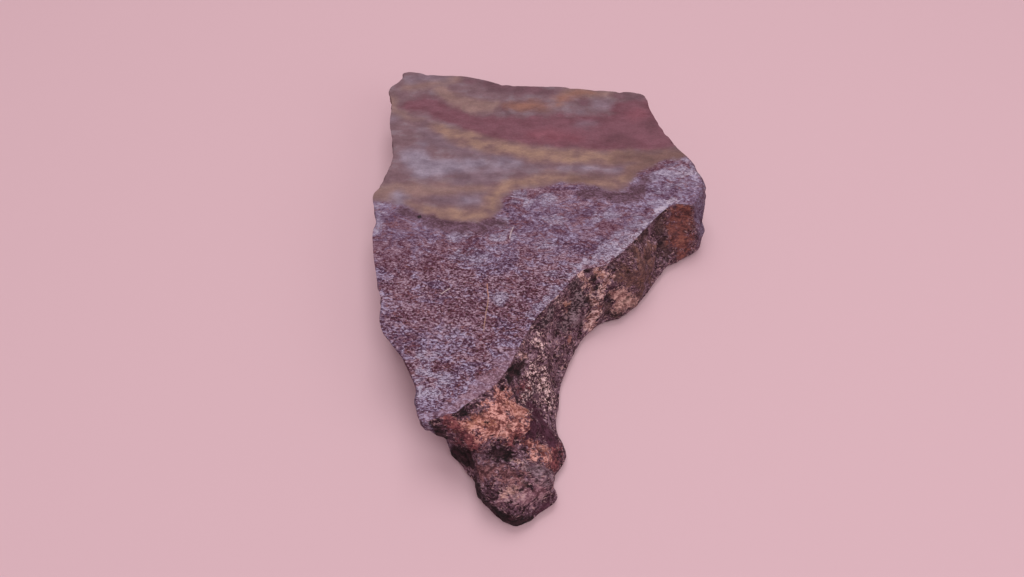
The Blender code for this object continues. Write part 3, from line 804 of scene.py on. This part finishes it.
# The finish of the sawn faces: rhyolite cut by a slab saw and left unpolished, which gives a dull, even
# face on which every band, fleck and grain shows, with only a faint sheen. Its quartz and feldspar have
# an IOR near the shader's own 1.5. The rock's own grain goes on to sizes that no eye parts at arm's
# length, so the finest pattern is drawn at 0.15 mm. Patterns keep within about 0.3 to 0.7, so the stops
# of their colours lie there.

STREAK_LIE = (0.4, 1.0, 0.7)  # the streaks are longer in x than they are thick
FLECK_LIE = (0.62, 1.0, 0.85)
FLOW_PATTERNS = {  # how it is drawn out, grain in mm, octaves, roughness, swirl
    "clouds": (None, 2.6, 3, 0.5, 0.0),
    "streaks": (STREAK_LIE, 1.4, 3, 0.6, 0.0),
    "grit": (FLECK_LIE, 0.30, 2, 1.0, 0.6),
    "clusters": (FLECK_LIE, 2.2, 3, 0.8, 1.0),
    "clots": (FLECK_LIE, 1.1, 3, 0.6, 1.0),
    "wide": (FLECK_LIE, 7.0, 2, 0.5, 0.0),
}
BANDS = [  # streak, dark and light colour, softness of its edge and raggedness in mm, strength
    ("tan", "7c625e", "8f746e", 1.3, 4.0, 0.9),
    ("plum", "5e434b", "6c4c56", 1.3, 4.0, 0.95),
    ("wine", "663e48", "754d58", 1.2, 4.0, 1.0),
    ("red", "74424d", "84525d", 1.6, 4.0, 0.85),
    ("maroon", "5a3841", "67424b", 1.6, 4.0, 0.8),
    ("smoke", "68535d", "7b6771", 1.3, 4.0, 0.9),
    ("mist", "72626d", "8a7886", 1.8, 4.0, 0.75),
    ("lilac", "776a79", "928896", 1.7, 4.0, 1.0),
    ("gold", "775c5c", "937768", 1.2, 2.4, 1.0),
    ("brown", "604745", "735653", 1.5, 4.0, 0.85),
    ("orange", "7a5348", "916755", 1.5, 4.0, 0.75),
]
BETWEEN_BANDS = [(0.42, "6e555c"), (0.5, "775e65"), (0.58, "7f6d75")]
BETWEEN_MIX = (0.4, 0.4)  # weights of clouds and streaks between the bands
EDGE_MIX = (0.8, 0.2)  # in the edge of a band
TONE_MIX = (0.35, 0.25)  # and in its tone
BAND_TONE = 0.48  # middle tone of a band at its edge
TONE_RISE = 0.03  # for each mm inside
BAND_STOPS = (0.42, 0.58)  # tones of its dark and its light colour
GRAIN_MIX = (0.35, 0.25, 0.2)  # weights of grit, streaks and clouds in the grain of all bands
GRAIN_SHADE = (0.40, 0.60, 0.86, 1.14)  # grain from, to; brightness from, to


def band_colour(tree, patterns):
    """The banded rock of the far side: a greyish tan, each band over it in turn, and a grain that shades
    them all. The edge of a band and its tone follow mixes of clouds and streaks."""
    clouds, streaks = patterns["clouds"], patterns["streaks"]
    between = weighted(tree, 0.5, zip((clouds[0], streaks[0]), BETWEEN_MIX))
    colour = add(tree, "ValToRGB", [between], stops=BETWEEN_BANDS)[0]
    for k, (name, dark, light, soft, ragged, strength) in enumerate(BANDS):
        one, other = k % 3, (k + 1) % 3
        edge = weighted(tree, 0.5, zip((clouds[one], streaks[other]), EDGE_MIX))
        depth = add(tree, "Attribute", [], attribute_name=name)["Fac"]
        mix = zip((clouds[other], streaks[one]), TONE_MIX)
        tone = weighted(tree, BAND_TONE, mix, [(depth, TONE_RISE)])
        own = add(tree, "ValToRGB", [tone], stops=list(zip(BAND_STOPS, (dark, light))))[0]
        colour = coated(tree, colour, [(share_inside(tree, name, edge, soft, ragged), strength, own)])
    grain = weighted(tree, 0.5, zip((patterns["grit"][1], streaks[2], clouds[2]), GRAIN_MIX))
    shade = add(tree, "MapRange", [grain, *GRAIN_SHADE])[0]
    grey = add(tree, "CombineColor", [shade, shade, shade])[0]
    shaded = add(tree, "Mix", {0: 1.0, 6: colour, 7: grey}, data_type="RGBA", blend_type="MULTIPLY")
    return shaded[2]


PINK_FLECKS = [(0.33, "310d13"), (0.405, "481d31"), (0.458, "573041"), (0.487, "613e4e"),
               (0.513, "6a4a58"), (0.542, "755767"), (0.595, "876c7c"), (0.68, "a28d9b")]
BLUE_FLECKS = [(0.33, "31112c"), (0.405, "452740"), (0.458, "553a51"), (0.487, "5f475e"),
               (0.513, "69526b"), (0.542, "746279"), (0.595, "877a93"), (0.68, "a29ab3")]
FROST_FLECKS = [(0.33, "523b50"), (0.405, "604c62"), (0.458, "695a6f"), (0.487, "73657a"),
                (0.513, "7e7287"), (0.56, "8d8398"), (0.64, "a9a3b5")]
PALE_RIM_COLOURS = [(0.42, "746573"), (0.5, "8f8394"), (0.6, "b6adbe")]
BORDER_COLOURS = [(0.4, "402a33"), (0.5, "543946"), (0.6, "6c5264")]
IRON_STAIN = "804e4a"
SMOOTH_LIP = "957686"
FLECK_PLACES = {  # streak: pattern of its edge, which of the three, softness and raggedness in mm
    "frost": ("clusters", 2, 0.8, 9.0),
    "border": ("clouds", 2, 0.9, 3.5),
    "lip": ("clouds", 0, 0.6, 4.0),
    "cool": ("clouds", 0, 4.0, 8.0),
    "dusk": ("clouds", 1, 2.0, 8.0),
    "pale rim": ("clots", 1, 0.4, 6.0),
}
PALE_CLOTS = (0.56, 0.66)  # clots over which flecks turn pale
MAROON_CLOTS = (0.43, 0.35)  # and maroon
STAINS = (0.64, 0.72)  # mix over which iron stains them
LEFT_SIDE = (-14, -24)  # x in mm over which the left side sets in
COARSENESS = (-10, 2, 1.15, 0.45)  # y in mm from, to; strength of the grit from, to
LEFT_FINER = -0.15  # what the left side adds to that strength
LIGHTNESS = 0.522  # middle lightness of the flecks
LIGHTNESS_MIX = (0.4, 0.12)  # weights of clusters and wide patches in it
LIGHTER = {"grit": 1.0, "coarseness": -0.022, "pale": 0.05, "maroon": -0.035, "left": 0.013,
           "frost": 0.02, "cool": 0.012, "dusk": -0.034, "lip": 0.042}  # what each adds to it
BLUENESS = 0.35  # and the same for how blue they are
BLUENESS_MIX = (1.0, 0.7)
BLUER = {"pale": 0.08, "cool": 0.08, "dusk": -0.05}
PINK_TO_BLUE = (0.32, 0.48)  # blueness over which they go from all pink to all blue


def fleck_colour(tree, place, patterns):
    """The flecked rock of the near side: flecks of lilac feldspar in a maroon ground, pinker here and
    bluer there, under frosty patches, iron stains, the maroon border and the pale rims. The lightness
    and the blueness of a fleck are mixes of patterns, with what LIGHTER and BLUER add to them."""
    grit, clusters, clots, wide = (patterns[name] for name in ("grit", "clusters", "clots", "wide"))
    x, y, _ = add(tree, "SeparateXYZ", [place])
    shares = {}
    for name, (pattern, which, soft, ragged) in FLECK_PLACES.items():
        shares[name] = share_inside(tree, name, patterns[pattern][which], soft, ragged)
    shares["pale"] = add(tree, "MapRange", [clots[0], *PALE_CLOTS])[0]
    shares["maroon"] = add(tree, "MapRange", [clots[1], *MAROON_CLOTS])[0]
    shares["left"] = add(tree, "MapRange", [x, *(side * MM for side in LEFT_SIDE)])[0]
    near, far, strong, weak = COARSENESS
    coarseness = add(tree, "MapRange", [y, near * MM, far * MM, strong, weak])[0]
    coarseness = weighted(tree, 0.0, [], [(coarseness, 1.0), (shares["left"], LEFT_FINER)])
    about_zero = weighted(tree, 0.0, [(grit[0], 1.0)])
    shares["coarseness"] = coarseness
    shares["grit"] = add(tree, "Math", [about_zero, coarseness], operation="MULTIPLY")[0]

    shifts = [(shares[name], weight) for name, weight in LIGHTER.items()]
    lightness = weighted(tree, LIGHTNESS, zip((clusters[0], wide[0]), LIGHTNESS_MIX), shifts)
    shifts = [(shares[name], weight) for name, weight in BLUER.items()]
    blueness = weighted(tree, BLUENESS, zip((clusters[1], wide[1]), BLUENESS_MIX), shifts)
    blueness = add(tree, "MapRange", [blueness, *PINK_TO_BLUE])[0]
    stained = weighted(tree, 0.5, [(grit[2], 1.0), (clots[2], 1.0)])
    stained = add(tree, "MapRange", [stained, *STAINS])[0]
    kinds = (PINK_FLECKS, BLUE_FLECKS, FROST_FLECKS, BORDER_COLOURS, PALE_RIM_COLOURS)
    ramps = [add(tree, "ValToRGB", [lightness], stops=stops)[0] for stops in kinds]
    pink, blue, frosty, dark, pale_rim = ramps
    coats = [
        (blueness, 1.0, blue),
        (shares["frost"], 0.85, frosty),
        (stained, 0.4, IRON_STAIN),
        (shares["border"], 0.95, dark),
        (shares["lip"], 0.35, SMOOTH_LIP),
        (shares["pale rim"], 1.0, pale_rim),
    ]
    return coated(tree, pink, coats)


FLECKED_FRAYING = (0.7, 2.5)  # softness and raggedness of the edge of the flecked rock, in mm
FLOW_LINES = [  # thin lines in the top: start and end (x, y), half width in mm, colour, strength
    ((-9.6, -10.0), (-9.2, -12.9), 0.14, "b0806c", 0.75),  # crack filled with iron stain
    ((-9.2, -12.7), (-9.8, -19.7), 0.12, "b08e7a", 0.6),
    ((-17.0, -12.3), (-15.4, -11.0), 0.10, "c8bab8", 0.85),  # scratches
    ((-5.9, -0.2), (-5.2, 2.6), 0.15, "beb0b2", 0.7),
    ((-22.1, 4.75), (-21.3, 5.05), 0.48, "1c1216", 0.95),  # small deep pit, not cut in the flat top: its black is painted shade
]


def flow_colour(tree, place):
    """The rock's own colour all through: the bands, the flecked rock over them from its edge on, and the
    thin lines over both."""
    patterns = cloudy(tree, place, FLOW_PATTERNS)
    clouds = patterns["clouds"]
    flecked = share_inside(tree, "flecked", clouds[2], *FLECKED_FRAYING)
    coats = [(flecked, 1.0, fleck_colour(tree, place, patterns))]
    for start, end, half, code, strength in FLOW_LINES:
        coats.append((along_line(tree, place, clouds[1], start, end, half), strength, code))
    return coated(tree, band_colour(tree, patterns), coats)


def new_material(name):
    """A node material, its shader and the object's coordinates in metres."""
    material = bpy.data.materials.new(name)
    material.use_nodes = True
    tree = material.node_tree
    place = add(tree, "TexCoord", [])["Object"]
    return material, tree, tree.nodes["Principled BSDF"], place


TOOTH_SPREAD = (0.35, 0.65)  # values that the pattern of a tooth keeps within
TOOTH_SPECULAR = 0.3  # a tooth traps most of the shine


def give_tooth(tree, shader, place, kind, roughness, strength, height):
    """Gives a surface its tooth. One cloudy pattern takes the roughness from its first value to its
    second, and another raises the surface, by height mm for each unit, at a strength."""
    tooth = cloudy(tree, place, {"tooth": kind})["tooth"]
    varied = add(tree, "MapRange", [tooth[0], *TOOTH_SPREAD, *roughness])[0]
    tree.links.new(varied, shader.inputs["Roughness"])
    bump = add(tree, "Bump", {"Height": tooth[1], "Strength": strength, "Distance": height * MM})
    tree.links.new(bump[0], shader.inputs["Normal"])
    shader.inputs["Specular IOR Level"].default_value = TOOTH_SPECULAR


SAWN_TOOTH = (None, 0.4, 3, 0.8, 0.0)
SAWN_ROUGHNESS = (0.60, 0.85)


def sawn_rhyolite():
    """Rhyolite as the saw leaves it: matt, with the tooth of the abrasive in it."""
    material, tree, shader, place = new_material("sawn rhyolite")
    tree.links.new(flow_colour(tree, place), shader.inputs["Base Color"])
    give_tooth(tree, shader, place, SAWN_TOOTH, SAWN_ROUGHNESS, strength=0.7, height=0.06)
    return material


mesh.materials.append(sawn_rhyolite())

# The finish of the sides: fresh breaks show the same bands on a coarser, duller surface. The rind is
# dark iron-stained crust with paler deposits and flecks, with near-black painted shade in its hollows.
# Each kind of crust is itself grainy, so it has a dark, a middle and a light colour.

CRUST_LIE = (0.55, 1.0, 1.3)  # the crusts lie in layers, and are drawn out along the slab
RIND_PATTERNS = {  # as in FLOW_PATTERNS
    "clouds": (None, 1.6, 4, 0.9, 0.0),
    "grit": (CRUST_LIE, 0.42, 2, 1.0, 0.5),
    "layers": (CRUST_LIE, 1.3, 5, 0.9, 0.0),
}
CRUST_COLOURS = [  # patch, its three colours, softness of its edge and raggedness in mm, how gritty, strength
    ("charcoal", "1e1117", "422f35", "846f75", 0.6, 9.0, 1.0, 0.9),
    ("bister", "2b1a1e", "442d2e", "604745", 0.8, 8.0, 0.4, 0.9),
    ("umber", "43292a", "5f423f", "805a4f", 0.7, 8.0, 0.3, 0.9),
    ("oxblood", "40171c", "673238", "945655", 0.7, 8.0, 0.4, 0.9),
    ("rust", "4e2f30", "6f403d", "8d584c", 0.6, 6.0, 0.25, 0.97),
    ("dun", "46272b", "6c4446", "94686a", 0.6, 9.0, 0.4, 0.9),
    ("mauve tip", "5a3840", "8a636f", "b49497", 0.6, 8.0, 0.25, 0.97),
    ("plum facet", "32121f", "452332", "573343", 0.3, 4.0, 0.15, 1.0),
    ("tan flecks", "2d171f", "7c5c59", "e8c9c8", 0.7, 12.0, 1.2, 0.95),
    ("buff", "684342", "a67f78", "cea59c", 0.6, 6.0, 0.35, 0.95),
    ("crust", "5f3e3c", "aa817d", "d8b7b3", 0.35, 8.0, 0.6, 1.0),
    ("peach", "643635", "a46b63", "dca69c", 0.5, 8.0, 0.6, 0.97),
    ("ochre", "743e33", "9c6252", "bc856a", 0.5, 7.0, 0.4, 0.55),
    ("silica", "543e46", "766068", "a08991", 0.5, 9.0, 0.5, 0.8),
    # painted shade, near black
    ("black shade", "090405", "1c0b0f", "391e26", 0.4, 4.0, 0.3, 0.97),
]
CRUST_STOPS = (0.41, 0.5, 0.61)
RIND_GROUND = [(0.34, "180b0f"), (0.42, "391f29"), (0.48, "513440"), (0.53, "654855"),
               (0.59, "795d6a"), (0.68, "a68a96")]
GROUND_MIX = (0.8, 0.5)  # weights of clouds and grit in the ground
SPOT_MIX = (1.0, 0.5)  # and of grit and a wider pattern in specks and pits
SPECKS = (0.61, 0.66)  # mix over which the ground turns to a pale speck
PITS = (0.38, 0.33)  # and to a black pit
SHADED_HOLLOWS = (-0.05, -0.30)  # mm of the fine relief over which painted shade darkens a hollow
SPECK_COLOUR = "b49090"
PIT_COLOUR = "180a0e"
# near-black painted shade for the hollows of the fine relief
HOLLOW_SHADE_COLOUR = "201012"


def rind_colour(tree, place):
    """The rind's colours: a dark brown ground with pale specks and black pits, the crusts and stains over
    it with near-black painted shade among them, the pits once more but faint, and near-black painted
    shade in the hollows of the fine relief. A crust's tone follows its layers, and grit as far as it is
    gritty."""
    clouds, grit, layers = cloudy(tree, place, RIND_PATTERNS).values()
    ground = weighted(tree, 0.5, zip((clouds[0], grit[0]), GROUND_MIX))
    specks = weighted(tree, 0.5, zip((grit[1], layers[2]), SPOT_MIX))
    specks = add(tree, "MapRange", [specks, *SPECKS])[0]
    pits = weighted(tree, 0.5, zip((grit[2], clouds[2]), SPOT_MIX))
    pits = add(tree, "MapRange", [pits, *PITS])[0]
    coats = [(specks, 0.8, SPECK_COLOUR), (pits, 0.75, PIT_COLOUR)]
    for k, (name, dark, middle, light, soft, ragged, gritty, strength) in enumerate(CRUST_COLOURS):
        tone = weighted(tree, 0.5, [(layers[k % 3], 1.0), (grit[(k + 1) % 3], gritty)])
        stops = list(zip(CRUST_STOPS, (dark, middle, light)))
        own = add(tree, "ValToRGB", [tone], stops=stops)[0]
        coats.append((share_inside(tree, name, clouds[k % 3], soft, ragged), strength, own))
    # Painted shade: the deeper a hollow of the fine relief, the nearer black it is painted.
    relief = add(tree, "Attribute", [], attribute_name="proud")["Fac"]
    hollow_shade = add(tree, "MapRange", [relief, *SHADED_HOLLOWS])[0]
    coats += [(pits, 0.15, PIT_COLOUR), (hollow_shade, 0.5, HOLLOW_SHADE_COLOUR)]
    colour = add(tree, "ValToRGB", [ground], stops=RIND_GROUND)[0]
    return coated(tree, colour, coats)


BREAK_FILM = "3c262e"  # dull film on a fresh break
FILM_STRENGTH = 0.25
WALL_TOOTH = (None, 0.6, 4, 0.8, 0.0)
WALL_ROUGHNESS = (0.78, 0.97)


def wall_rock():
    """Broken rhyolite, and the weathered rind over it where the rind share says so: dusty and porous."""
    material, tree, shader, place = new_material("weathered and broken rhyolite")
    rind = add(tree, "Attribute", [], attribute_name="rind")["Fac"]
    coats = [(1.0, FILM_STRENGTH, BREAK_FILM), (rind, 1.0, rind_colour(tree, place))]
    colour = coated(tree, flow_colour(tree, place), coats)
    tree.links.new(colour, shader.inputs["Base Color"])
    give_tooth(tree, shader, place, WALL_TOOTH, WALL_ROUGHNESS, strength=1.0, height=0.35)
    return material


mesh.materials.append(wall_rock())
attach(stone, "root")
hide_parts("rhyolite_slab")

# THE STUDIO
# The slab lies on pale pink card between wide soft lights: one high on the far side, one high on the
# near side, and a weaker low one from the near right that reaches the rind. The pink card and walls
# around give a weak pink fill from all sides.

CARD_SIZE = 3.0  # metres
CARD_COLOUR = "d2b4bb"
WALL_COLOUR = "ffc8d6"
WALL_STRENGTH = 0.32
LIGHTS = [  # name, place and side in metres, watts
    ("far light", (-0.02, 0.286, 0.69), 0.50, 2.53),
    ("near light", (0.05, -0.35, 0.657), 0.45, 2.32),
    ("low light", (0.48, -0.36, 0.36), 0.40, 0.78),
]


def studio_card():
    """Pale matt card that the slab lies on."""
    made = bpy.data.meshes.new("card")
    half = CARD_SIZE / 2
    corners = [(-half, -half, 0), (half, -half, 0), (half, half, 0), (-half, half, 0)]
    made.from_pydata(corners, [], [(0, 1, 2, 3)])
    material, _, shader, _ = new_material("pale card")
    shader.inputs["Base Color"].default_value = linear(CARD_COLOUR)
    shader.inputs["Roughness"].default_value = 0.9
    shader.inputs["Specular IOR Level"].default_value = 0.2
    made.materials.append(material)
    card = bpy.data.objects.new("card", made)
    bpy.context.scene.collection.objects.link(card)


def soft_light(name, place, size, watts):
    """A square soft white light that faces the slab. It shines along its own -Z, so it is tipped by the
    angle between straight down and the way to the slab, and turned towards it."""
    lamp = bpy.data.lights.new(name, "AREA")
    lamp.size = size
    lamp.energy = watts
    holder = bpy.data.objects.new(name, lamp)
    holder.location = place
    towards = -np.array(place)
    holder.rotation_euler = (
        math.acos(-towards[2] / np.linalg.norm(towards)),
        0,
        math.atan2(towards[1], towards[0]) - math.pi / 2,
    )
    bpy.context.scene.collection.objects.link(holder)


studio_card()
for light in LIGHTS:
    soft_light(*light)

world = bpy.data.worlds.new("studio")
world.use_nodes = True
world.node_tree.nodes["Background"].inputs["Color"].default_value = linear(WALL_COLOUR)
world.node_tree.nodes["Background"].inputs["Strength"].default_value = WALL_STRENGTH
bpy.context.scene.world = world
bpy.context.scene.view_settings.view_transform = "Standard"

# The camera looks down at 52 degrees from 110 mm above the surface that the slab lies on.
LENS_OVER_WIDTH = 770 / 1024  # focal length over picture width
SENSOR_WIDTH = 36.0
CAMERA_PLACE = (-5.41, -88.44, 110.0)  # mm
CAMERA_DIP = 52.0  # degrees below level
CLIP = (0.01, 10.0)  # metres

lens = bpy.data.cameras.new("camera")
lens.sensor_width = SENSOR_WIDTH
lens.lens = SENSOR_WIDTH * LENS_OVER_WIDTH
lens.clip_start, lens.clip_end = CLIP
camera = bpy.data.objects.new("camera", lens)
camera.location = [v * MM for v in CAMERA_PLACE]
camera.rotation_euler = (math.radians(90 - CAMERA_DIP), 0, 0)
bpy.context.scene.collection.objects.link(camera)
bpy.context.scene.camera = camera
